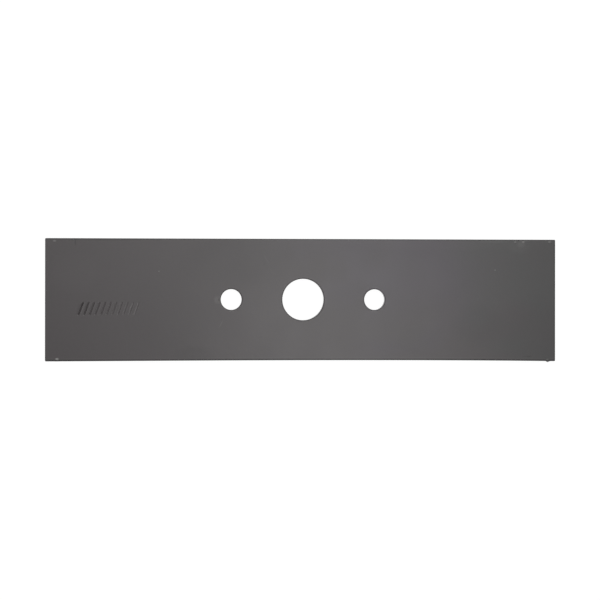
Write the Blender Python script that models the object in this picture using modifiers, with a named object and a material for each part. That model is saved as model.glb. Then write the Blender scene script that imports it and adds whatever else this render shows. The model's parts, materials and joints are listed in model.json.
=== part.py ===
"""Rotary mower blade: one flat piece of steel that lies on its underside.

The blade is a plain rectangular bar with square ends. A round arbor hole sits in the middle and a
smaller bolt hole on each side of it, all on the long centre line. The bar is blanked and punched
from above, so every upper edge is rolled over and every hole opens out a little towards the
underside.

X runs along the blade, Y across it and Z up through its thickness. The origin is the centre of the
arbor hole at the underside. All sizes are in metres.
"""

import math

import bmesh
import bpy

# Bar
BLADE_LENGTH = 0.254
BLADE_WIDTH = 0.0603
BLADE_THICKNESS = 0.0048
CORNER_RADIUS = 0.0005

# Holes: the arbor hole takes the spindle, the bolt holes the bolts that keep the blade from slipping
ARBOR_HOLE_DIAMETER = 0.0206
BOLT_HOLE_DIAMETER = 0.0103
BOLT_HOLE_SPACING = 0.0714

# Edges of the bar: the upper one is rolled over, the lower one only has its burr taken off
EDGE_ROLL = 0.0004
BURR_BREAK = 0.0002

# Mouth of a hole: the punch drags the surface down over a wide, shallow rim
MOUTH_WIDTH = 0.0005
MOUTH_DEPTH = 0.0004

# Wall of a hole: a straight burnished land, and below it a torn wall that leans outwards
LAND_SHARE = 0.45
BREAKOUT = 0.0001

# A rounding takes at most this share of the thickness, and of the corner that it runs round
THICKNESS_LIMIT = 0.4
CORNER_LIMIT = 0.9

# Facets
CORNER_STEPS = 4
ROLL_STEPS = 3
ARBOR_HOLE_SIDES = 72
BOLT_HOLE_SIDES = 48
SMOOTH_BELOW = math.radians(35)

# A cutter runs past both faces by this much
CUTTER_REACH = 0.002
MERGE = 0.00001

# Finish: a dark grey satin coat over the whole blade
COATING_COLOUR = (0.095, 0.091, 0.094, 1.0)
COATING_ROUGHNESS = 0.42


def clear_scene():
    """Removes every object and collection, so that the script starts from nothing."""
    for obj in list(bpy.data.objects):
        bpy.data.objects.remove(obj, do_unlink=True)
    for collection in list(bpy.data.collections):
        bpy.data.collections.remove(collection)


def new_collection(name):
    """A collection in the scene."""
    collection = bpy.data.collections.new(name)
    bpy.context.scene.collection.children.link(collection)
    return collection


def coating():
    """The dark grey satin coat that covers the whole blade."""
    material = bpy.data.materials.new("dark_grey_coating")
    material.use_nodes = True
    shader = material.node_tree.nodes["Principled BSDF"]
    shader.inputs["Base Color"].default_value = COATING_COLOUR
    shader.inputs["Roughness"].default_value = COATING_ROUGHNESS
    shader.inputs["Metallic"].default_value = 0.0
    return material


def rounding(size):
    """A rounding's size, no more than its share of the thickness."""
    return min(size, THICKNESS_LIMIT * BLADE_THICKNESS)


def quarter(centre, width, height, start, steps):
    """Points on a quarter of an ellipse that starts at an angle in radians, both ends included."""
    angles = [start + math.pi / 2 * k / steps for k in range(steps + 1)]
    return [(centre[0] + width * math.cos(a), centre[1] + height * math.sin(a)) for a in angles]


def outline():
    """The blade's outline, anticlockwise: a rectangle whose four corners are small arcs."""
    along = BLADE_LENGTH / 2 - CORNER_RADIUS
    across = BLADE_WIDTH / 2 - CORNER_RADIUS
    centres = [(along, across), (-along, across), (-along, -across), (along, -across)]
    points = []
    for turn, centre in enumerate(centres):
        points += quarter(centre, CORNER_RADIUS, CORNER_RADIUS, turn * math.pi / 2, CORNER_STEPS)
    return points


def bar(collection):
    """The bar before punching: the outline given its thickness, with its underside on Z = 0."""
    curve = bpy.data.curves.new("bar_outline", "CURVE")
    curve.dimensions = "2D"
    curve.fill_mode = "BOTH"
    curve.extrude = BLADE_THICKNESS / 2
    spline = curve.splines.new("POLY")
    points = outline()
    spline.points.add(len(points) - 1)
    for point, (x, y) in zip(spline.points, points):
        point.co = (x, y, 0.0, 1.0)
    spline.use_cyclic_u = True
    guide = bpy.data.objects.new("bar_outline", curve)
    guide.location.z = BLADE_THICKNESS / 2
    collection.objects.link(guide)
    return as_mesh_object(guide, "mower_blade", collection)


def as_mesh_object(guide, name, collection):
    """A mesh object with the shape and place of a curve object, which is then removed."""
    bpy.context.view_layer.update()
    evaluated = guide.evaluated_get(bpy.context.evaluated_depsgraph_get())
    mesh = bpy.data.meshes.new_from_object(evaluated)
    mesh.name = name
    body = bmesh.new()
    body.from_mesh(mesh)
    bmesh.ops.remove_doubles(body, verts=body.verts, dist=MERGE)
    bmesh.ops.dissolve_limit(body, angle_limit=math.radians(1), verts=body.verts, edges=body.edges)
    bmesh.ops.recalc_face_normals(body, faces=body.faces)
    body.to_mesh(mesh)
    body.free()
    obj = bpy.data.objects.new(name, mesh)
    obj.matrix_world = guide.matrix_world.copy()
    collection.objects.link(obj)
    bpy.data.objects.remove(guide, do_unlink=True)
    return obj


def round_edges(blade):
    """Rounds the upper edge all round by the roll, and the lower edge by the smaller burr break."""
    largest = CORNER_LIMIT * CORNER_RADIUS
    upper = min(rounding(EDGE_ROLL), largest)
    lower = min(rounding(BURR_BREAK), largest)
    widest = max(upper, lower)
    body = bmesh.new()
    body.from_mesh(blade.data)
    weight = body.edges.layers.float.new("bevel_weight_edge")
    for edge in body.edges:
        low, high = sorted(vertex.co.z for vertex in edge.verts)
        if high - low < MERGE:
            edge[weight] = (upper if low > 0.0 else lower) / widest
    body.to_mesh(blade.data)
    body.free()
    bevel = blade.modifiers.new("rounded_edges", "BEVEL")
    bevel.limit_method = "WEIGHT"
    bevel.width = widest
    bevel.segments = ROLL_STEPS


def hole_profile(diameter):
    """Half the section of a punched hole, as radius and height, from above the blade to below it.

    From the top down it is the rolled mouth, the straight land at the hole's true radius, the torn
    wall that leans out by the breakout, and the lower rim with its burr taken off.
    """
    radius = diameter / 2
    torn = radius + BREAKOUT
    depth = rounding(MOUTH_DEPTH)
    burr = rounding(BURR_BREAK)
    mouth_end = BLADE_THICKNESS - depth
    land_end = mouth_end - LAND_SHARE * (mouth_end - burr)
    mouth = quarter((radius + MOUTH_WIDTH, mouth_end), MOUTH_WIDTH, depth, math.pi / 2, ROLL_STEPS)
    lower = quarter((torn + burr, burr), burr, burr, math.pi, ROLL_STEPS)
    above = BLADE_THICKNESS + CUTTER_REACH
    below = -CUTTER_REACH
    points = [(0.0, above), (radius + MOUTH_WIDTH, above)]
    points += mouth
    points += [(radius, land_end)]
    points += lower
    points += [(torn + burr, below), (0.0, below)]
    return points


def punch(name, diameter, x, sides, collection):
    """A cutter with the shape of one punched hole, on the centre line at x."""
    profile = hole_profile(diameter)
    mesh = bpy.data.meshes.new(name)
    links = [(k, k + 1) for k in range(len(profile) - 1)]
    mesh.from_pydata([(radius, 0.0, height) for radius, height in profile], links, [])
    cutter = bpy.data.objects.new(name, mesh)
    cutter.location.x = x
    cutter.hide_render = True
    cutter.display_type = "WIRE"
    collection.objects.link(cutter)
    screw = cutter.modifiers.new("turned", "SCREW")
    screw.axis = "Z"
    screw.steps = sides
    screw.render_steps = sides
    screw.use_merge_vertices = True
    screw.merge_threshold = MERGE
    return cutter


def cut(blade, cutter):
    """Takes the cutter's shape out of the blade."""
    boolean = blade.modifiers.new(cutter.name, "BOOLEAN")
    boolean.operation = "DIFFERENCE"
    boolean.solver = "EXACT"
    boolean.object = cutter


def build():
    """Makes the blade and the punches that cut its holes."""
    clear_scene()
    parts = new_collection("rotary_mower_blade")
    cutters = new_collection("punches")
    blade = bar(parts)
    blade.data.materials.append(coating())
    round_edges(blade)
    cut(blade, punch("arbor_punch", ARBOR_HOLE_DIAMETER, 0.0, ARBOR_HOLE_SIDES, cutters))
    for side, x in (("left", -BOLT_HOLE_SPACING / 2), ("right", BOLT_HOLE_SPACING / 2)):
        cut(blade, punch(side + "_bolt_punch", BOLT_HOLE_DIAMETER, x, BOLT_HOLE_SIDES, cutters))
    blade.data.shade_smooth()
    blade.data.set_sharp_from_angle(angle=SMOOTH_BELOW)


build()
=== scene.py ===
# %% [markdown]
# # A flat mower blade, dressed for its photograph
#
# The object is one piece of flat steel: a straight bar with square ends, a big round hole in the
# middle for the spindle, and a smaller hole on each side of it for bolts. A satin dark grey coat
# covers all of it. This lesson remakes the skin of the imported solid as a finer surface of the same
# form, gives it the coat, and then sets up the camera and the light.
#
# The solid is loaded first, because every size and place below is read from it or is given in its
# frame: X along the blade, Y across it, Z up, and the underside on Z = 0. Lengths are in metres, and
# MM turns millimetres into them.

import json

import bmesh
import bpy
import numpy as np
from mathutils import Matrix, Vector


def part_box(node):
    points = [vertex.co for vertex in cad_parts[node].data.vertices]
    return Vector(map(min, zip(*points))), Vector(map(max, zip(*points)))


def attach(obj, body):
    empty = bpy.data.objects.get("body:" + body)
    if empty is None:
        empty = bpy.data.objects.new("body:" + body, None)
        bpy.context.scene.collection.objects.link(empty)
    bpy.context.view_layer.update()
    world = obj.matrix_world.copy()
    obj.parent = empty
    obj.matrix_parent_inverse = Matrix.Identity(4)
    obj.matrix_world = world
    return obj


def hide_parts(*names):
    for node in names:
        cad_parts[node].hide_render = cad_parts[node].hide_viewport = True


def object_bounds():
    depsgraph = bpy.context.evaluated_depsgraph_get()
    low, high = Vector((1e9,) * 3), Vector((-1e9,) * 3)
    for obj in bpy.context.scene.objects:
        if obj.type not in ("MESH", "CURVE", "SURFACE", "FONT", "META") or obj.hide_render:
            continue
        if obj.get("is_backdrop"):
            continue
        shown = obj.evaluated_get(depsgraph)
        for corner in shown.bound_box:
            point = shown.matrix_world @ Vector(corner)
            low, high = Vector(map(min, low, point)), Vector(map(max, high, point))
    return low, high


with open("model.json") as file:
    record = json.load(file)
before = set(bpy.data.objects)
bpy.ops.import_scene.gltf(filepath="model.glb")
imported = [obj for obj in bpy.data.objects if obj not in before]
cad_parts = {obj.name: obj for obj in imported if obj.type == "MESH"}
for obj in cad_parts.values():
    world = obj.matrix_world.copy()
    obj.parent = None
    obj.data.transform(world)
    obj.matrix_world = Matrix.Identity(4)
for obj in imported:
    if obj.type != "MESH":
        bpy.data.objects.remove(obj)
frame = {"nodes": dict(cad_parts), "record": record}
solid_low, solid_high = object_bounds()
MM = 0.001
CM = 10 * MM

# %% [markdown]
# ## Read the sizes
#
# The bar's length, width and thickness are the solid's own box. The record states a box inside each
# hole, and the middle of that box is the hole's centre. The solid's points give the radius: the one
# nearest to a centre lies on the hole's narrowest stretch. They could be typed in again, but a change
# to the solid reaches this file by itself when they are read.

# %% Measure the bar and its holes
NODE = "mower_blade"
low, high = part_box(NODE)
length, width, thickness = (float(after - before) for before, after in zip(low, high))

solid = frame["nodes"][NODE].data
places = np.empty(len(solid.vertices) * 3, np.float32)
solid.vertices.foreach_get("co", places)
places = places.reshape(-1, 3)[:, :2]

holes = []
for opening in frame["record"]["physics"]["openings"]:
    corners = np.array(opening["box_m"])
    centre = corners[:, :2].mean(0)
    radius = float(np.hypot(*(places - centre).T).min())
    holes.append((opening["name"], centre, radius))
    print(opening["name"], "at", centre / MM, "mm, radius", round(radius / MM, 3), "mm")
print("bar:", np.round([length / MM, width / MM, thickness / MM], 3), "mm")

# %% [markdown]
# ## Set the camera
#
# The photograph looks almost straight down at the blade from about 65 cm, through a lens that shows
# it without much perspective. Two things show that the view isn't perfectly square: the left end is
# a little taller in the picture than the right one, and the holes, which lie in the middle of the
# bar, are seen a little right of the middle of its outline. So the camera leans by three and a half
# degrees, and a small shift of the lens helps to bring the blade to the middle of the picture. A
# camera could be aimed with a constraint, but three small angles are plainer and easy to adjust.
#
# The Standard view transform shows a colour as it is, so that white surroundings stay white.

# %% Camera
CAMERA_PLACE = (-37.94 * MM, 7.54 * MM, 658.18 * MM)
CAMERA_LEAN = np.radians([0.10, -3.50, 0.073])
CAMERA_LENS = 79.02
CAMERA_SHIFT = (-0.012, -0.03)
CAMERA_SEES_FROM = 10 * MM
CAMERA_SEES_TO = 10.0

camera = bpy.data.objects.new("camera", bpy.data.cameras.new("camera"))
bpy.context.scene.collection.objects.link(camera)
bpy.context.scene.camera = camera
camera.location = CAMERA_PLACE
camera.rotation_euler = CAMERA_LEAN
camera.data.lens = CAMERA_LENS
camera.data.shift_x, camera.data.shift_y = CAMERA_SHIFT
camera.data.clip_start = CAMERA_SEES_FROM
camera.data.clip_end = CAMERA_SEES_TO
bpy.context.scene.view_settings.view_transform = "Standard"
print("camera", round(CAMERA_PLACE[2] / MM), "mm up, lens", CAMERA_LENS, "mm")

# %% [markdown]
# ## Draw the sections of the edges
#
# A press blanks the bar and punches its holes. The punch first drags the surface down, which leaves
# a rolled edge. Then it shears a straight, burnished land, and at last the steel tears, which leaves
# the lower part of the wall leaning outwards. The burr below is taken off. These few tenths of a
# millimetre catch the light as a thin line round every edge, so they deserve true sections.
#
# A Bevel modifier would round the edges, but it gives every edge the same round section. Here each
# section is a short list of points, out from the flat face and down the wall, made from quarter
# ellipses. The next steps carry it round the bar and round the holes.

# %% Sections, as distance outwards and height
CORNER_RADIUS = 0.5 * MM
EDGE_ROLL = 0.4 * MM
BURR_BREAK = 0.2 * MM
MOUTH_WIDTH = 0.5 * MM
MOUTH_DEPTH = 0.4 * MM
LAND_SHARE = 0.45
BREAKOUT = 0.1 * MM


def quarter(width, drop, steps):
    """Points on a quarter of an ellipse that leaves a level face and ends upright.

    At each angle a from 0 to a right angle, the point lies width * sin(a) along and
    drop * (1 - cos(a)) down.
    """
    angle = np.linspace(0, np.pi / 2, steps + 1)
    return np.stack([width * np.sin(angle), drop * (1 - np.cos(angle))], 1)


def wall_section(roll_width, roll_drop, land_share, breakout, steps=8, rows=6):
    """The section of a sheared wall, from the flat face above to the flat face below.

    Each row holds the distance towards the free side, counted from the burnished land, and the
    height. The order is the rolled edge, the land, the torn stretch and the edge without its burr.
    """
    roll = quarter(roll_width, roll_drop, steps)
    roll = np.stack([roll[:, 0] - roll_width, thickness - roll[:, 1]], 1)
    land_end = roll[-1, 1] - land_share * (roll[-1, 1] - BURR_BREAK)
    land = np.stack([np.zeros(rows), np.linspace(roll[-1, 1], land_end, rows + 1)[1:]], 1)
    down = np.linspace(0, 1, rows + 1)[1:, None]
    torn = land[-1] + down * (np.array([-breakout, BURR_BREAK]) - land[-1])
    under = quarter(BURR_BREAK, BURR_BREAK, steps // 2)[::-1]
    under = np.stack([under[:, 0] - BURR_BREAK - breakout, under[:, 1]], 1)
    return np.concatenate([roll, land, torn, under[1:]])


edge_section = wall_section(EDGE_ROLL, EDGE_ROLL, LAND_SHARE, 0.0)
hole_section = wall_section(MOUTH_WIDTH, MOUTH_DEPTH, LAND_SHARE, BREAKOUT)
print("edge section:", len(edge_section), "points, hole section:", len(hole_section), "points")

# %% [markdown]
# ## Plan the grid of the flat faces
#
# A flat face with round holes in it could be one big polygon, but then nothing could be pressed into
# it. So the face is a grid of lines, some at fixed places along X and some at fixed places across it.
# Round each hole a square window is left open, and all windows are equally wide, so that the same
# lines across serve the three of them. Inside a window the lines stand where evenly spread spokes
# from the hole's centre meet its sides: on a side at distance h, the spoke at angle a meets it at
# h * tan(a). The window can then be filled with rings that turn from a square into a circle, and
# every spoke ends on a grid line.

# %% Windows and their spokes
WINDOW = 14 * MM
SPOKES_A_SIDE = 32

spokes = WINDOW * np.tan(np.linspace(-np.pi / 4, np.pi / 4, SPOKES_A_SIDE + 1))
window_middles = sorted(float(centre[0]) for _, centre, _ in holes)
print("windows at", np.round(window_middles, 4), "m, spokes:", 4 * SPOKES_A_SIDE)

# %% [markdown]
# ## Plan the stamped strokes
#
# Near the left end the blade has a row of stamped strokes, pressed in before the coat went on. The
# stamp was held a little askew: the strokes are deepest at the left and fade to the right.
#
# A stroke could be cut with a Boolean, but a stamp doesn't cut: it pushes the steel aside, and a low
# lip rises along each groove. That is a height over the face, so the strokes are a formula of x and
# y, and the grid gets a few lines for each of them. To make the strokes slant, the grid itself leans
# over there, and so its lines still run along each groove.

# %% Strokes and the lines that they need
STROKES = 11
STROKE_PITCH = 2.73 * MM
STROKE_HALF = 0.50 * MM
STROKE_DEPTH = 0.44 * MM
STROKE_FADE = 0.11
LIP_PLACE = 0.62 * MM
LIP_HALF = 0.28 * MM
LIP_HEIGHT = 0.03 * MM
HATCH_MIDDLE = (-95.9 * MM, -4.34 * MM)
HATCH_HALF_HEIGHT = 2.9 * MM
HATCH_END = 0.35 * MM
HATCH_SLANT = np.tan(np.radians(20))
HATCH_CALM = 6 * MM
SIDE_LINES = np.array([0.1, 0.21, 0.35, 0.48, 0.62, 0.76, 0.9]) * MM
END_LINES = HATCH_END * np.linspace(-1.5, 1.5, 7)

stroke_number = np.arange(STROKES) - (STROKES - 1) / 2
stroke_middles = HATCH_MIDDLE[0] + STROKE_PITCH * stroke_number
stroke_lines = np.concatenate([-SIDE_LINES, [0.0], SIDE_LINES])
hatch_lines = np.add.outer(stroke_middles, stroke_lines).ravel()
upper_lines = HATCH_HALF_HEIGHT + END_LINES
end_lines = HATCH_MIDDLE[1] + np.concatenate([-upper_lines, upper_lines])
print("strokes:", STROKES, "over", round(np.ptp(stroke_middles) / MM, 1), "mm")

# %% [markdown]
# ## Put the grid lines together
#
# The lines are close together only where something small happens: at the stamped strokes, and near
# both ends, where a drip of the coat stands out from the long edge. Elsewhere the face is flat, and
# two millimetres between the lines are enough. One even grid would be simpler to write, but it would
# have millions of faces. Each stretch of lines starts where another ends, so the merge keeps only
# one line of every pair of twins.

# %% Grid lines
COARSE = 2.0 * MM
FINE = 0.15 * MM
MIDDLING = 4 * FINE
RACK_PLACE = 122.6 * MM
RACK_REACH = 1.6 * MM
DECIMALS = 7


def spread(start, end, step):
    """Evenly spread positions from start to end, about a step apart, both ends included."""
    return np.linspace(start, end, max(1, round((end - start) / step)) + 1)


def merged(*groups):
    """All the positions in order, each once. They are rounded first, so that twins coincide."""
    return np.unique(np.concatenate(groups).round(DECIMALS))


face_x = length / 2 - CORNER_RADIUS
face_y = width / 2 - CORNER_RADIUS
rack_lines = spread(RACK_PLACE - RACK_REACH, RACK_PLACE + RACK_REACH, FINE)
windows = [middle + spokes for middle in window_middles]
along = merged(
    spread(-face_x, -rack_lines[-1], MIDDLING), -rack_lines,
    spread(-rack_lines[0], hatch_lines[0], COARSE),
    hatch_lines, spread(hatch_lines[-1], windows[0][0], COARSE),
    windows[0], spread(windows[0][-1], windows[1][0], COARSE),
    windows[1], spread(windows[1][-1], windows[2][0], COARSE),
    windows[2], spread(windows[2][-1], rack_lines[0], COARSE),
    rack_lines, spread(rack_lines[-1], face_x, MIDDLING),
)
across = merged(spread(-face_y, -WINDOW, COARSE), spokes, end_lines, spread(WINDOW, face_y, COARSE))
print("grid:", len(along), "lines along X,", len(across), "across")

# %% [markdown]
# ## Shape the strokes
#
# Two formulas make the hatch. The lean slides the grid's points along X, more the further they are
# from the hatch's middle line, and dies away smoothly around the hatch, so that the rest of the face
# keeps its lines. The relief is a height: a cosine bell downwards for each groove, two low bells
# upwards for its lips, a soft start and end, and the fade from the first stroke to the last.

# %% Lean and relief


def ease(t):
    """A smooth step: 0 below 0, 1 above 1, and 3t² - 2t³ between them."""
    t = np.clip(t, 0, 1)
    return t * t * (3 - 2 * t)


def bell(t):
    """A cosine bell: (1 + cos(pi t)) / 2 within -1 to 1, and 0 outside."""
    return 0.5 + 0.5 * np.cos(np.pi * np.clip(t, -1, 1))


def plateau(value, middle, half, fade):
    """1 within half of the middle, falling to 0 by an ease over the fade beyond it."""
    return ease((half + fade - np.abs(value - middle)) / fade)


def lean(x, y):
    """How far the grid slides along X.

    It is the slant times the distance above the hatch's middle line, in full inside the hatch, and
    less and less over the calm stretch around it.
    """
    amount = plateau(x, HATCH_MIDDLE[0], STROKE_PITCH * STROKES / 2, HATCH_CALM)
    amount = amount * plateau(y, HATCH_MIDDLE[1], HATCH_HALF_HEIGHT + HATCH_END, HATCH_CALM)
    return HATCH_SLANT * (y - HATCH_MIDDLE[1]) * amount


def stroke_relief(x, y):
    """Height of the stamped strokes over the face.

    With q the distance from the nearest stroke's middle, the height is the lips' bells less the
    groove's bell, times the stroke's strength, times the soft ends.
    """
    number = np.clip(np.round((x - stroke_middles[0]) / STROKE_PITCH), 0, STROKES - 1)
    q = np.abs(x - stroke_middles[0] - number * STROKE_PITCH)
    strength = STROKE_FADE ** (number / (STROKES - 1))
    ends = plateau(y, HATCH_MIDDLE[1], HATCH_HALF_HEIGHT - HATCH_END, 2 * HATCH_END)
    groove = STROKE_DEPTH * bell(q / STROKE_HALF)
    lips = LIP_HEIGHT * bell((q - LIP_PLACE) / LIP_HALF)
    return (lips - groove) * strength * ends


grid_x, grid_y = np.meshgrid(along, across)
relief = stroke_relief(grid_x, grid_y)
print("relief from", round(relief.min() / MM, 3), "to", round(relief.max() / MM, 3), "mm")

# %% [markdown]
# ## Lay the two faces
#
# Each surface below is a patch: a grid of points with two parameters, the same grid of positions for
# its UV map, and a flag that says which way its faces look. The upper face is the leaning grid with
# its relief, the lower face is the plain grid. Quads whose middle lies in a window are left out.

# %% Face patches
patches = []


def grid_quads(rows, columns, turned):
    """The corner numbers of a grid's quads, one row for each quad.

    A quad joins a point, the next one in its row, and the two beside them in the next row. Turned
    quads look the other way.
    """
    number = np.arange(rows * columns).reshape(rows, columns)
    row, next_row = number[:-1], number[1:]
    quads = np.stack([row[:, :-1], row[:, 1:], next_row[:, 1:], next_row[:, :-1]], -1).reshape(-1, 4)
    return quads[:, ::-1] if turned else quads


def add_patch(points, flat, turned=False, keep=None):
    """Keeps a patch: its points, its positions on the UV map and the quads that are wanted."""
    rows, columns = points.shape[:2]
    quads = grid_quads(rows, columns, turned)
    if keep is not None:
        quads = quads[keep.ravel()]
    patches.append((points.reshape(-1, 3), flat.reshape(-1, 2), quads))
    return len(quads)


def face_patch(height, slide, turned):
    """A face with its windows open: x + slide, y and the height at every crossing of the lines."""
    points = np.stack([grid_x + slide, grid_y, height + 0 * grid_x], -1)
    middle_x = (grid_x[:-1, :-1] + grid_x[1:, 1:]) / 2
    middle_y = (grid_y[:-1, :-1] + grid_y[1:, 1:]) / 2
    keep = np.ones(middle_x.shape, bool)
    for middle in window_middles:
        keep &= (np.abs(middle_x - middle) > WINDOW) | (np.abs(middle_y) > WINDOW)
    return add_patch(points, points[..., :2], turned, keep)


print("upper face:", face_patch(thickness + relief, lean(grid_x, grid_y), False), "quads")
print("lower face:", face_patch(0.0, 0.0, True), "quads")

# %% [markdown]
# ## Fill the windows round the holes
#
# A window goes from a circle to a square. Its spokes start on the hole's rim and end on the window's
# sides, where the grid's own points are, so the patch closes on the face without a gap. The rings
# between them are a blend: near the rim they are nearly round, near the sides nearly square. They
# lie closer together near the rim, where the section of the wall takes over.

# %% Window patches
RINGS = 10
RING_CROWDING = 1.3


def round_a_rectangle(xs, ys):
    """The points round a rectangle's sides, anticlockwise from its lower left corner and back."""
    lower = np.stack([xs[:-1], np.full(len(xs) - 1, ys[0])], 1)
    right = np.stack([np.full(len(ys) - 1, xs[-1]), ys[:-1]], 1)
    upper = np.stack([xs[:0:-1], np.full(len(xs) - 1, ys[-1])], 1)
    left = np.stack([np.full(len(ys) - 1, xs[0]), ys[:0:-1]], 1)
    return np.concatenate([lower, right, upper, left, lower[:1]])


def inside(values, middle):
    """The grid lines that cross a window."""
    return values[np.abs(values - middle) < WINDOW + FINE / 2]


def spoke_directions(centre):
    """The square's points round a hole, and the direction from the hole's centre to each."""
    square = round_a_rectangle(inside(along, centre[0]), inside(across, 0.0))
    away = square - centre
    return square, away / np.linalg.norm(away, axis=1, keepdims=True)


def window_patch(centre, rim, height, turned):
    """The rings of a window: (1 - u) * circle + u * square.

    The share u is the ring's number over their count, to the power of the crowding.
    """
    square, direction = spoke_directions(centre)
    circle = centre + rim * direction
    u = (np.linspace(0, 1, RINGS + 1) ** RING_CROWDING)[:, None, None]
    plan = (1 - u) * circle + u * square
    points = np.concatenate([plan, np.full(plan.shape[:2] + (1,), height)], -1)
    return add_patch(points, plan, turned)


for name, centre, radius in holes:
    upper = window_patch(centre, radius - hole_section[0, 0], thickness, True)
    lower = window_patch(centre, radius - hole_section[-1, 0], 0.0, False)
    print(name, "windows:", upper, "and", lower, "quads")

# %% [markdown]
# ## Carry the sections along their paths
#
# A wall is a section carried along a path. At each point of the path the section's distance is laid
# off along the outward direction there, and its height straight up. Round a hole the path is the
# centre itself and only the direction turns. Round the bar the path is the edge of the flat face,
# and at each corner the point stays while the direction turns by a right angle, which makes the
# small round corner of the outline.
#
# The UV map of a wall unrolls it: distance along the wall, and height. The coat uses it later for
# the fine upright lines that shearing leaves.

# %% Wall patches
CORNER_TURNS = 8


def distance_along(line):
    """The length of a line up to each of its points."""
    steps = np.linalg.norm(np.diff(line, axis=0), axis=1)
    return np.concatenate([[0.0], np.cumsum(steps)])


def outline_path(xs, ys):
    """The flat face's edge, anticlockwise and closed, with the outward direction at each point.

    The directions are counted in right angles from +X, so the first side, which looks along -Y, has
    -1, and the closing point has a whole turn more.
    """
    ends = [(xs, ys[:1]), (xs[-1:], ys), (xs[::-1], ys[-1:]), (xs[:1], ys[::-1])]
    points = []
    angles = []
    for side, (side_x, side_y) in enumerate(ends):
        count = max(len(side_x), len(side_y))
        straight = np.stack(np.broadcast_arrays(side_x, side_y), 1)
        points += [straight, np.repeat(straight[-1:], CORNER_TURNS - 1, 0)]
        angles += [np.zeros(count) + side - 1, side - 1 + np.arange(1, CORNER_TURNS) / CORNER_TURNS]
    points = np.concatenate(points + [points[0][:1]])
    angles = np.concatenate(angles + [angles[0][:1] + 4]) * np.pi / 2
    return points, np.stack([np.cos(angles), np.sin(angles)], 1)


def wall_patch(path, direction, offset, section, turned, bulge=0.0):
    """A wall: path + (offset + section's distance + bulge) * direction, at the section's height."""
    out = (offset + section[:, 0])[:, None, None] + np.zeros((1, len(path), 1)) + bulge
    plan = path + out * direction
    height = np.broadcast_to(section[:, 1, None, None], plan.shape[:2] + (1,))
    unrolled = np.broadcast_to(distance_along(path + offset * direction)[None, :, None], height.shape)
    return add_patch(np.concatenate([plan, height], -1), np.concatenate([unrolled, height], -1), turned)


for name, centre, radius in holes:
    _, direction = spoke_directions(centre)
    middle = np.broadcast_to(centre, direction.shape)
    mirrored = hole_section * [-1, 1]
    print(name, "wall:", wall_patch(middle, direction, radius, mirrored, False), "quads")

# %% [markdown]
# ## Add the drips on the long edge
#
# The blade went through the coating on a rack that held it near its ends. Where it was held, the
# coat is thin or missing, and on the lower long edge, near the right end, a bead of it has dried.
# The bead stands out by a little over half a millimetre and shows in the outline. Near the left end
# there is only a faint swelling. They could be small drops laid on the edge, but a coat has no seam,
# so each is a bulge of the wall itself: a bell along the wall, times a bell over its height.

# %% Outline wall with its drips, each as x, how far it stands out, and half its length
DRIPS = ((123.5 * MM, 0.58 * MM, 1.5 * MM), (-121.1 * MM, 0.12 * MM, 3.0 * MM))
DRIP_HEIGHT = 3.1 * MM
DRIP_HALF_HEIGHT = 1.6 * MM

# On the lower long edge the outward direction has a Y of -1, give or take the rounding of numbers
LOWER_EDGE_Y = -0.999

path, direction = outline_path(along, across)
upper_border = np.array([[-CORNER_RADIUS, thickness]])
lower_border = np.array([[-CORNER_RADIUS, 0.0]])
outline_section = np.concatenate([upper_border, edge_section, lower_border])

on_long_edge = direction[:, 1] < LOWER_EDGE_Y
bulge = np.zeros((len(outline_section), len(path)))
for drip_x, drip_out, drip_half in DRIPS:
    near = bell((path[:, 0] - drip_x) / drip_half) * on_long_edge
    bulge += drip_out * np.outer(bell((outline_section[:, 1] - DRIP_HEIGHT) / DRIP_HALF_HEIGHT), near)
count = wall_patch(path, direction, CORNER_RADIUS, outline_section, True, bulge[..., None])
print("outline wall:", count, "quads, drip", round(bulge.max() / MM, 2), "mm proud")

# %% [markdown]
# ## Sew the patches together
#
# The patches share their borders but not yet their points. They are put one after another into one
# mesh, points that no quad uses are dropped, and points that coincide are merged. At the corners of
# the flat face a whole fan of points falls together, so the merge also closes those poles. A closed
# skin has no open edge and a positive volume, and both are printed as a test.
#
# The photographed bar isn't quite true: towards both ends its lower edge runs out by a few tenths of a
# millimetre, as a sheared strip often does, and more so at the right end. One formula moves every
# point of the skin for it, so the patches stay together: the flare grows with the square of the
# distance from the middle, and from the upper long edge, where it is nothing, to the lower one.

# %% Skin
EDGE_FLARE = 0.54 * MM
FLARE_TO_RIGHT = 0.39
MERGE = 0.0005 * MM


def flared(points):
    """The points with y less flare * (1 + to_right * t) * t² * (1/2 - y / width), t = 2x / length."""
    out = points.copy()
    t = 2 * out[:, 0] / length
    out[:, 1] -= EDGE_FLARE * (1 + FLARE_TO_RIGHT * t) * t ** 2 * (0.5 - out[:, 1] / width)
    return out


def skin(name):
    """One closed mesh from all patches, with their positions as its UV map."""
    starts = np.cumsum([0] + [len(points) for points, _, _ in patches])
    points = np.concatenate([points for points, _, _ in patches])
    flat = np.concatenate([flat for _, flat, _ in patches])
    quads = np.concatenate([quads + start for start, (_, _, quads) in zip(starts, patches)])
    used, numbers = np.unique(quads, return_inverse=True)
    mesh = bpy.data.meshes.new(name)
    mesh.from_pydata(flared(points[used]), [], numbers.reshape(-1, 4))
    layer = mesh.uv_layers.new(name="unrolled")
    layer.uv.foreach_set("vector", flat[quads.ravel()].astype(np.float32).ravel())
    return mesh


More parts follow.
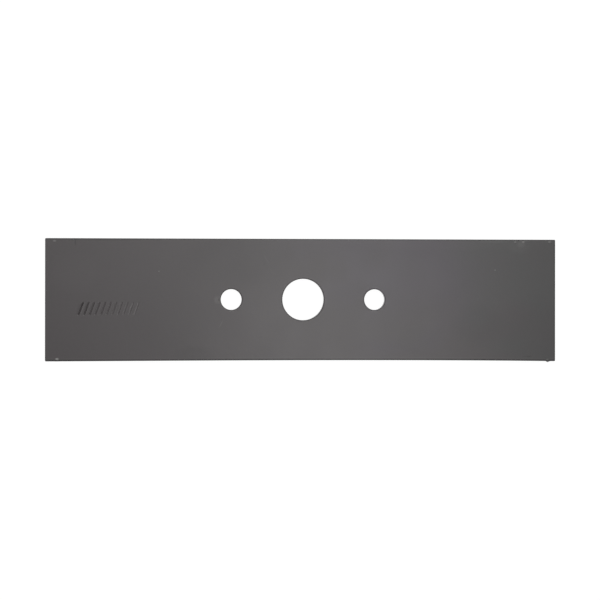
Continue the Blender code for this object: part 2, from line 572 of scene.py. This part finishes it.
# %% Sewing
blade_mesh = skin("satin_blade")
sewn = bmesh.new()
sewn.from_mesh(blade_mesh)
bmesh.ops.remove_doubles(sewn, verts=sewn.verts, dist=MERGE)
open_edges = sum(not edge.is_manifold for edge in sewn.edges)
volume = sewn.calc_volume(signed=True)
sewn.to_mesh(blade_mesh)
sewn.free()
blade_mesh.shade_smooth()
blade = bpy.data.objects.new("satin_blade", blade_mesh)
bpy.context.scene.collection.objects.link(blade)
print("skin:", len(blade_mesh.vertices), "points,", len(blade_mesh.polygons), "faces")
print("open edges:", open_edges, "volume:", round(volume / CM ** 3, 3), "cm3")

# %% [markdown]
# ## Start the coat
#
# The coat is a satin dark grey, nearly neutral. A plain colour on a Principled shader would give the
# right tone and look like plastic. What makes it read as a coat on steel is small: a slow drift of
# the tone, a fine grain, and a gloss that isn't quite even. The drift and the grain are Noise
# textures on Object coordinates, so they keep their scale in metres and stay where they are when the
# camera moves.
#
# A coat that was sprayed or dipped by hand also changes its tint a little from place to place. Here
# it is warm on the left, a breath purple right of the middle and neutral at the right end.
#
# Walls and faces are finished a little differently, so a mask tells them apart by how far the
# surface tilts: it reads the normal's Z, which is 1 or -1 on a face and 0 on a wall.

# %% Coat colours
COAT_WARM = (0.0515, 0.0456, 0.0470, 1)
COAT_PURPLE = (0.0512, 0.0446, 0.0522, 1)
COAT_NEUTRAL = (0.0490, 0.0478, 0.0478, 1)
COAT_GLOSS = 0.31
COAT_SPECULAR = 0.25
DRIFT_SHARE = 0.015
GRAIN_SHARE = 0.03

coat = bpy.data.materials.new("satin_coat")
coat.use_nodes = True
tree = coat.node_tree
shader = tree.nodes["Principled BSDF"]
shader.inputs["Specular IOR Level"].default_value = COAT_SPECULAR
print("coat gloss", COAT_GLOSS, "drift", DRIFT_SHARE, "grain", GRAIN_SHARE)

# %% Helpers that add a node each
NOISE_RANGE = (0.3, 0.7)

# A Mix node has one pair of inputs for each kind of value, and these are the numbers of its colours
MIX_COLOURS_IN = (6, 7)
MIX_COLOUR_OUT = 2


def add(kind, inputs=None, **settings):
    """Adds a node to the coat. Inputs that are sockets are linked, others are values."""
    node = tree.nodes.new("ShaderNode" + kind)
    for name, value in settings.items():
        setattr(node, name, value)
    for key, value in (inputs or {}).items():
        if isinstance(value, bpy.types.NodeSocket):
            tree.links.new(value, node.inputs[key])
        else:
            node.inputs[key].default_value = value
    return node


def noise(vector, scale, detail=2.0, rough=0.5):
    """A Noise texture's height, from about 0.3 to 0.7, with its scale in waves a metre."""
    node = add("TexNoise", {"Vector": vector, "Scale": scale, "Detail": detail, "Roughness": rough})
    return node.outputs["Fac"]


def reach(value, low, high, to_low=0.0, to_high=1.0):
    """Maps a value from one range to another, smoothly, and holds it at the ends."""
    limits = {"Value": value, "From Min": low, "From Max": high}
    node = add("MapRange", limits, interpolation_type="SMOOTHSTEP")
    node.inputs["To Min"].default_value = to_low
    node.inputs["To Max"].default_value = to_high
    return node.outputs["Result"]


def blend(amount, first, second):
    """A colour between the first and the second."""
    inputs = {"Factor": amount, MIX_COLOURS_IN[0]: first, MIX_COLOURS_IN[1]: second}
    return add("Mix", inputs, data_type="RGBA").outputs[MIX_COLOUR_OUT]


def arithmetic(kind, first, second=0.0):
    """A sum, product or the like of two numbers, or one number's absolute value."""
    return add("Math", {0: first, 1: second}, operation=kind).outputs[0]


# %% Places on the blade, and the mask of its walls
WALL_RANGE = (0.25, 0.7)

place = add("TexCoord").outputs["Object"]
place_x, place_y, place_z = add("SeparateXYZ", {0: place}).outputs
upright = add("SeparateXYZ", {0: add("NewGeometry").outputs["Normal"]}).outputs["Z"]
wall = reach(arithmetic("ABSOLUTE", upright), *WALL_RANGE, 1.0, 0.0)
print("the walls start where the normal's Z is under", WALL_RANGE[1])

# %% [markdown]
# ## Mix its tints
#
# A tint reaches over several centimetres, so it is a soft ellipse on the face, and noise makes its
# border irregular. A Mapping node moves the ellipse's middle to zero, turns it and scales it to a
# unit ball, and the distance from the middle then says how much of the tint a place gets. The coat
# is warm first, and each row of the table lays one more tint over it. The same helper makes the
# small marks of a later step.

# %% Tints, each as colour, x, y, half length, half width, angle and strength, in mm and degrees
SPOT_END = 1.2
WIDE_DEPTH = 40 * MM
TINT_SOFT = 0.1
TINT_WANDER = 0.7
TINT_WAVES = 28
TINTS = (
    (COAT_PURPLE, (57, 9, 50, 34, 25, 1.0)),
    (COAT_PURPLE, (28, 27, 44, 12, 0, 0.9)),
    (COAT_PURPLE, (42, -24, 26, 9, 0, 0.8)),
    (COAT_NEUTRAL, (120, 4, 42, 70, 0, 1.0)),
    (COAT_NEUTRAL, (104, 28, 26, 8, 0, 0.9)),
    (COAT_NEUTRAL, (102, -23, 20, 9, 0, 0.9)),
    (COAT_WARM, (107, -8, 14, 9, 0, 0.9)),
)


def spot(x, y, half_length, half_width, angle, strength, depth, soft=0.4, wander=None):
    """A soft ellipse round a point of the upper face, in mm.

    It has its full strength where the scaled distance from its middle is under soft, and nothing
    from the spot's end on. A wander is added to the distance.
    """
    inputs = {
        "Vector": place, "Location": (x * MM, y * MM, thickness),
        "Rotation": (0, 0, np.radians(angle)), "Scale": (half_length * MM, half_width * MM, depth),
    }
    ball = add("Mapping", inputs, vector_type="TEXTURE").outputs["Vector"]
    distance = add("VectorMath", {0: ball}, operation="LENGTH").outputs["Value"]
    if wander is not None:
        distance = arithmetic("ADD", distance, wander)
    return reach(distance, soft, SPOT_END, strength, 0.0)


border = noise(place, TINT_WAVES, detail=3.0)
wander = reach(border, *NOISE_RANGE, -TINT_WANDER / 2, TINT_WANDER / 2)
tone = COAT_WARM
for tint, tinted_place in TINTS:
    tone = blend(spot(*tinted_place, WIDE_DEPTH, TINT_SOFT, wander), tone, tint)
print("tints:", len(TINTS))

# %% [markdown]
# ## Let the tone drift
#
# No coat is equally thick everywhere, and up close it has a grain. Both mix in a little of a deep
# shade: the drift follows the sum of a slow noise and a quicker one, the grain a noise of its own,
# with waves under a millimetre long. The shares are small, because on the real blade the drift is
# only just seen.

# %% Drift and grain
SHADE = (0.012, 0.012, 0.012, 1)
DRIFT_WAVES = (16, 110)
DRIFT_RANGE = (0.8, 1.2)
GRAIN_WAVES = 1400

slow_drift = noise(place, DRIFT_WAVES[0])
quick_drift = noise(place, DRIFT_WAVES[1], detail=5.0, rough=0.65)
drift = arithmetic("ADD", slow_drift, quick_drift)
grain = noise(place, GRAIN_WAVES)
tone = blend(reach(drift, *DRIFT_RANGE, 0.0, DRIFT_SHARE), tone, SHADE)
tone = blend(reach(grain, *NOISE_RANGE, 0.0, GRAIN_SHARE), tone, SHADE)
print("waves of", np.round(1 / np.array([*DRIFT_WAVES, GRAIN_WAVES]) / MM, 1), "mm")

# %% [markdown]
# ## Paint shade and a highlight along the edges
#
# Along the edges the rounded rims turn away from the lamps. A thin, darker line there is painted
# shade, and a faint, lighter line just inside it is a painted highlight. Both are strongest on the
# lower long edge, which faces away from the wide panel. Each line is a band round one value of X or
# Y on the faces: its full strength at that value, and nothing a band's half width away. For the
# lower edge the flare is taken out of Y again, so that its lines follow it.

# %% Edge lines, each as axis, place and half width in mm, and strength
outwards = arithmetic("MULTIPLY", place_x, 2 / length)
squared = arithmetic("MULTIPLY", outwards, outwards)
uneven = arithmetic("ADD", arithmetic("MULTIPLY", outwards, EDGE_FLARE * FLARE_TO_RIGHT), EDGE_FLARE)
lower_y = arithmetic("ADD", place_y, arithmetic("MULTIPLY", squared, uneven))
# Painted shade: the dark lines where the rims turn away from the lamps
PAINTED_SHADE_LINES = (
    (lower_y, -29.90, 0.90, 0.82),
    (place_y, 30.05, 0.80, 0.32),
    (place_x, -126.9, 0.70, 0.08),
    (place_x, 126.9, 1.60, 0.34),
)
# Painted highlight: the pale lines just inside the rims
PAINTED_HIGHLIGHT_LINES = ((lower_y, -28.75, 0.50, 0.014), (place_y, 28.75, 0.50, 0.005))
# The colour of worn coat, and of the painted highlights
WORN_AND_HIGHLIGHT = (0.30, 0.295, 0.29, 1)


def bands(lines):
    """The sum of all bands, on the faces only: 1 at a band's middle, smoothly down to 0."""
    total = 0.0
    for axis, middle, half, strength in lines:
        away = arithmetic("ABSOLUTE", arithmetic("SUBTRACT", axis, middle * MM))
        total = arithmetic("ADD", reach(away, 0.0, half * MM, strength, 0.0), total)
    return arithmetic("MULTIPLY", total, arithmetic("SUBTRACT", 1.0, wall))


# Paint the shade along the rims, then the highlight just inside them
tone = blend(bands(PAINTED_SHADE_LINES), tone, SHADE)
tone = blend(bands(PAINTED_HIGHLIGHT_LINES), tone, WORN_AND_HIGHLIGHT)
print("edge lines:", len(PAINTED_SHADE_LINES), "dark,", len(PAINTED_HIGHLIGHT_LINES), "pale")

# %% [markdown]
# ## Mark the coat
#
# The blade shows a number of small marks. The pale ones are points near the four corners,
# where the rack touched the blade, streaks and smudges beside them, two specks and two thin
# scratches. The dark ones are a nick in the upper edge, stretches where that edge's painted shade is
# wider, a few dots, and dull scuffs. Painting them in an image would fix their size in pixels, so
# each is a small soft ellipse like the tints. Pale marks blend to the worn and highlight colour, dark
# ones to the deep shade. The last few of each kind are wide and very weak: they are painted light and
# painted shade, which reshape the lamp's broad highlight on the face.

# %% Marks, each as x, y, half length, half width, angle and strength, in mm and degrees
PALE_MARKS_AND_PAINTED_LIGHT = {
    "rack_lower_left": (-121.1, -29.30, 0.95, 0.58, 0, 0.58),
    "rack_upper_left": (-122.4, 28.78, 0.90, 0.45, 0, 0.27),
    "rack_upper_right": (106.6, 28.94, 0.60, 0.45, 0, 0.27),
    "rack_upper_right_second": (110.7, 29.01, 0.75, 0.55, 0, 0.31),
    "rack_upper_right_end": (124.0, 29.06, 0.90, 0.50, 0, 0.26),
    "rack_lower_right": (123.0, -30.14, 0.70, 0.45, 0, 0.18),
    "streak_upper_right": (112.0, 29.36, 1.60, 0.35, 0, 0.06),
    "streak_upper_right_long": (95.6, 29.05, 8.0, 0.60, 0, 0.035),
    "smudge_upper_right": (109.6, 27.76, 2.2, 1.9, 10, 0.050),
    "smudge_wide": (108.6, 26.15, 6.0, 3.4, 0, 0.022),
    "speck_left": (-71.3, 13.94, 0.35, 0.30, 0, 0.26),
    "speck_right": (96.4, 14.82, 0.35, 0.30, 0, 0.30),
    "smudge_left_hole": (-42.5, -0.2, 1.9, 2.2, 0, 0.07),
    "scratch": (-40.8, -12.3, 2.3, 0.20, 61, 0.07),
    "scratch_upper": (-18.3, 20.0, 3.4, 0.20, -58, 0.04),
    # The last three are painted light, which widens the lamp's broad highlight
    "painted_light_left": (-112.0, 13.0, 14.0, 11.0, 0, 0.013),
    "painted_light_right": (55.0, 12.5, 24.0, 10.0, 0, 0.010),
    "painted_light_upper_edge": (74.0, 29.0, 58.0, 4.5, 0, 0.014),
}
DARK_MARKS_AND_PAINTED_SHADE = {
    "nick_upper_left": (-112.2, 28.05, 1.5, 0.50, 88, 0.42),
    "edge_upper_left_long": (-98.0, 29.62, 36.0, 0.6, 0, 0.3),
    "edge_upper_left": (-112.0, 29.69, 2.4, 0.50, 0, 0.32),
    "dot_upper_right": (106.7, 28.16, 0.40, 0.35, 0, 0.26),
    "dot_upper_right_end": (123.6, 28.16, 0.40, 0.40, 0, 0.32),
    "dot_upper_right_last": (125.0, 28.21, 0.40, 0.35, 0, 0.30),
    "dot_left_hole": (-41.7, -0.1, 0.45, 0.9, 0, 0.45),
    "dot_lower_right": (122.0, -29.23, 0.45, 0.40, 0, 0.20),
    "scuff": (-19.5, 19.0, 3.6, 0.7, 100, 0.07),
    "scuff_lower": (-21.1, -18.7, 1.2, 0.4, 20, 0.12),
    "scuff_lower_right": (113.2, -28.46, 2.3, 0.45, 1, 0.24),
    # The last six are painted shade, which trims the lamp's broad highlight
    "painted_shade_right": (118.0, -18.2, 27.0, 20.0, 0, 0.10),
    "painted_shade_right_small": (87.0, -12.0, 14.0, 12.0, 0, 0.13),
    "painted_shade_lower_right": (56.0, -20.0, 10.0, 9.0, 0, 0.11),
    "painted_shade_lower_left": (-54.0, -27.5, 11.0, 5.0, 0, 0.15),
    "painted_shade_left": (-64.4, -9.0, 24.0, 30.0, 0, 0.07),
    "painted_shade_upper": (-33.0, 21.0, 30.0, 17.0, 0, 0.16),
}
MARK_DEPTH = 0.8 * MM


def gather(marks):
    """The sum of all soft ellipses of one kind."""
    total = 0.0
    for mark in marks.values():
        total = arithmetic("ADD", spot(*mark, MARK_DEPTH), total)
    return total


pale = gather(PALE_MARKS_AND_PAINTED_LIGHT)
dark = gather(DARK_MARKS_AND_PAINTED_SHADE)
# Pale marks hold wear and painted light, dark marks hold wear and painted shade
tone = blend(pale, tone, WORN_AND_HIGHLIGHT)
tone = blend(dark, tone, SHADE)
print("marks:", len(PALE_MARKS_AND_PAINTED_LIGHT), "pale,", len(DARK_MARKS_AND_PAINTED_SHADE), "dark")

# %% [markdown]
# ## Give the coat its surface
#
# Four small reliefs break the gloss. The coat has a faint ripple two millimetres wide, as it gets
# when it dries, and a fine grain over it, and the pale marks stand up a hair. The sheared walls show
# upright lines through the coat, stronger in the torn lower half than on the burnished land. Those
# follow the wall, so they read the UV map, which unrolls it: the noise has many waves along the wall
# and few over its height. The mask of the walls keeps them there, and the height tells the land from
# the torn half. These could be shaped in the mesh, but they are far smaller than its faces, so Bump
# nodes, whose distances are in metres, are chained instead.
#
# The gloss differs too: the coat is shinier on the smooth land than on the faces, and duller on the
# torn half. In the holes this shows as a thin, light sliver of wall.

# %% Relief and gloss
RIPPLE = 0.012 * MM
GRAIN = 0.002 * MM
SHEAR_LINES = 0.03 * MM
RIPPLE_WAVES = 480
SHEAR_WAVES = (3200, 260, 1)
TORN_RANGE = (0.35 * thickness, 0.6 * thickness)
LINES_ON_LAND = 0.25
TORN_DULLER = 0.08
LAND_SHINIER = 0.12
GLOSS_WAVES = 60
GLOSS_DRIFT = 0.007

ripple = noise(place, RIPPLE_WAVES, detail=1.0)
unrolled = add("UVMap", uv_map="unrolled").outputs["UV"]
squeezed = add("Mapping", {"Vector": unrolled, "Scale": SHEAR_WAVES}).outputs["Vector"]
torn = reach(place_z, *TORN_RANGE, 1.0, LINES_ON_LAND)
lines = noise(squeezed, 1.0, detail=4.0, rough=0.6)
lines = arithmetic("MULTIPLY", lines, arithmetic("MULTIPLY", wall, torn))

normal = None
for level, tall in ((ripple, RIPPLE), (grain, GRAIN), (lines, SHEAR_LINES), (pale, RIPPLE)):
    bump = add("Bump", {"Height": level, "Strength": 1.0, "Distance": tall})
    if normal is not None:
        tree.links.new(normal, bump.inputs["Normal"])
    normal = bump.outputs["Normal"]

gloss = noise(place, GLOSS_WAVES, detail=3.0)
gloss = reach(gloss, *NOISE_RANGE, COAT_GLOSS - GLOSS_DRIFT, COAT_GLOSS + GLOSS_DRIFT)
sheared = reach(place_z, *TORN_RANGE, TORN_DULLER, -LAND_SHINIER)
gloss = arithmetic("ADD", gloss, arithmetic("MULTIPLY", wall, sheared))
tree.links.new(tone, shader.inputs["Base Color"])
tree.links.new(gloss, shader.inputs["Roughness"])
tree.links.new(normal, shader.inputs["Normal"])
blade_mesh.materials.append(coat)
print("coat nodes:", len(tree.nodes))

# %% [markdown]
# ## Light the blade
#
# In the photograph the middle of the blade is clearly lighter than its ends, and lightest a little
# right of the middle. That isn't a change of colour. It is the broad, soft reflection of a lamp
# overhead in a satin surface. So the lamp's place follows from the law of reflection: the lamp lies
# as far beyond its highlight as the camera is before it, in proportion to their heights. A wide
# panel beyond the blade's upper long edge adds the little more light that this edge has.

# %% Lamps
HIGHLIGHT = np.array([17.3 * MM, -23.4 * MM])
LAMP_HEIGHT = 1.3
LAMP_SIZE = 0.25
LAMP_POWER = 2.32
PANEL_PLACE = (0.014, 0.37, 1.3)
PANEL_SIZE = 0.8
PANEL_POWER = 6.35


def hang_lamp(name, position, size, power):
    """Hangs a square area lamp of a size in metres and a power in watts, facing the blade's middle."""
    light = bpy.data.lights.new(name, "AREA")
    light.size = size
    light.energy = power
    lamp = bpy.data.objects.new(name, light)
    lamp.location = position
    lamp.rotation_euler = lamp.location.to_track_quat("Z", "Y").to_euler()
    bpy.context.scene.collection.objects.link(lamp)


camera_plan = np.array(CAMERA_PLACE[:2])
lamp_plan = HIGHLIGHT + (HIGHLIGHT - camera_plan) * LAMP_HEIGHT / CAMERA_PLACE[2]
hang_lamp("overhead_lamp", (*lamp_plan, LAMP_HEIGHT), LAMP_SIZE, LAMP_POWER)
hang_lamp("wide_panel", PANEL_PLACE, PANEL_SIZE, PANEL_POWER)
print("overhead lamp at", lamp_plan.round(3), "m")

# %% [markdown]
# ## Make the white surroundings
#
# The photograph's background is plain white, and so is what shows through the holes. More light on a
# white floor would wash out the blade too. So the floor and the world look at the kind of ray that
# reaches them. To the camera, and in reflections, the world is plain white at strength 1, and the
# floor comes to the same white: nine tenths of it glow, and one tenth is the real floor, so that the
# blade keeps its soft shadow there. To the rays that carry light they are an ordinary pale floor and
# a dim, even sky.

# %% Kinds of rays


def seen_directly(nodes, links):
    """1 for camera, glossy and transmission rays, and 0 for the rays that carry light."""
    ray = nodes.new("ShaderNodeLightPath")
    first = nodes.new("ShaderNodeMath")
    second = nodes.new("ShaderNodeMath")
    for node in (first, second):
        node.operation = "MAXIMUM"
    links.new(ray.outputs["Is Camera Ray"], first.inputs[0])
    links.new(ray.outputs["Is Glossy Ray"], first.inputs[1])
    links.new(first.outputs[0], second.inputs[0])
    links.new(ray.outputs["Is Transmission Ray"], second.inputs[1])
    return second.outputs[0]


# %% Floor
FLOOR_SIZE = 4.0
FLOOR_DROP = 0.02 * MM
FLOOR_COLOUR = (0.9, 0.9, 0.9, 1)
FLOOR_SHARE = 0.90
FLOOR_GLOW = 1.06


def floor_material():
    """A pale matt floor that is white where it is seen."""
    material = bpy.data.materials.new("pale_floor")
    material.use_nodes = True
    nodes, links = material.node_tree.nodes, material.node_tree.links
    nodes.clear()
    matt = nodes.new("ShaderNodeBsdfDiffuse")
    matt.inputs["Color"].default_value = FLOOR_COLOUR
    white = nodes.new("ShaderNodeEmission")
    white.inputs["Strength"].default_value = FLOOR_GLOW
    share = nodes.new("ShaderNodeMath")
    share.operation = "MULTIPLY"
    share.inputs[1].default_value = FLOOR_SHARE
    mix = nodes.new("ShaderNodeMixShader")
    out = nodes.new("ShaderNodeOutputMaterial")
    links.new(seen_directly(nodes, links), share.inputs[0])
    links.new(share.outputs[0], mix.inputs[0])
    links.new(matt.outputs[0], mix.inputs[1])
    links.new(white.outputs[0], mix.inputs[2])
    links.new(mix.outputs[0], out.inputs["Surface"])
    return material


half = FLOOR_SIZE / 2
floor_mesh = bpy.data.meshes.new("floor")
floor_corners = [(-half, -half, 0), (half, -half, 0), (half, half, 0), (-half, half, 0)]
floor_mesh.from_pydata(floor_corners, [], [(0, 1, 2, 3)])
floor_mesh.materials.append(floor_material())
floor = bpy.data.objects.new("floor", floor_mesh)
floor.location.z = -FLOOR_DROP
bpy.context.scene.collection.objects.link(floor)
floor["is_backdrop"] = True
print("floor:", FLOOR_SIZE, "m wide")

# %% Sky
SKY_STRENGTH = 0.47

sky = bpy.data.worlds.new("pale_sky")
sky.use_nodes = True
bpy.context.scene.world = sky
background = sky.node_tree.nodes["Background"]
background.inputs["Color"].default_value = (1, 1, 1, 1)
dimmer = sky.node_tree.nodes.new("ShaderNodeMapRange")
dimmer.inputs["To Min"].default_value = SKY_STRENGTH
dimmer.inputs["To Max"].default_value = 1.0
directly = seen_directly(sky.node_tree.nodes, sky.node_tree.links)
sky.node_tree.links.new(directly, dimmer.inputs["Value"])
sky.node_tree.links.new(dimmer.outputs["Result"], background.inputs["Strength"])
print("sky: strength 1 where it is seen,", SKY_STRENGTH, "as light")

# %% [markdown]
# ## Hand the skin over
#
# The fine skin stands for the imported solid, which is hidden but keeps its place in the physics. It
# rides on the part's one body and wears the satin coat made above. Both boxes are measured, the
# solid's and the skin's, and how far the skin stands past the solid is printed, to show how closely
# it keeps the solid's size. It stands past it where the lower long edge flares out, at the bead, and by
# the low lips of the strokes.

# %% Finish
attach(blade, "root")
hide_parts(NODE)

skin_low, skin_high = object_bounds()
past_low = (np.array(solid_low) - np.array(skin_low)) / MM
past_high = (np.array(skin_high) - np.array(solid_high)) / MM
print("skin past the solid:", past_low.round(2), "and", past_high.round(2), "mm")
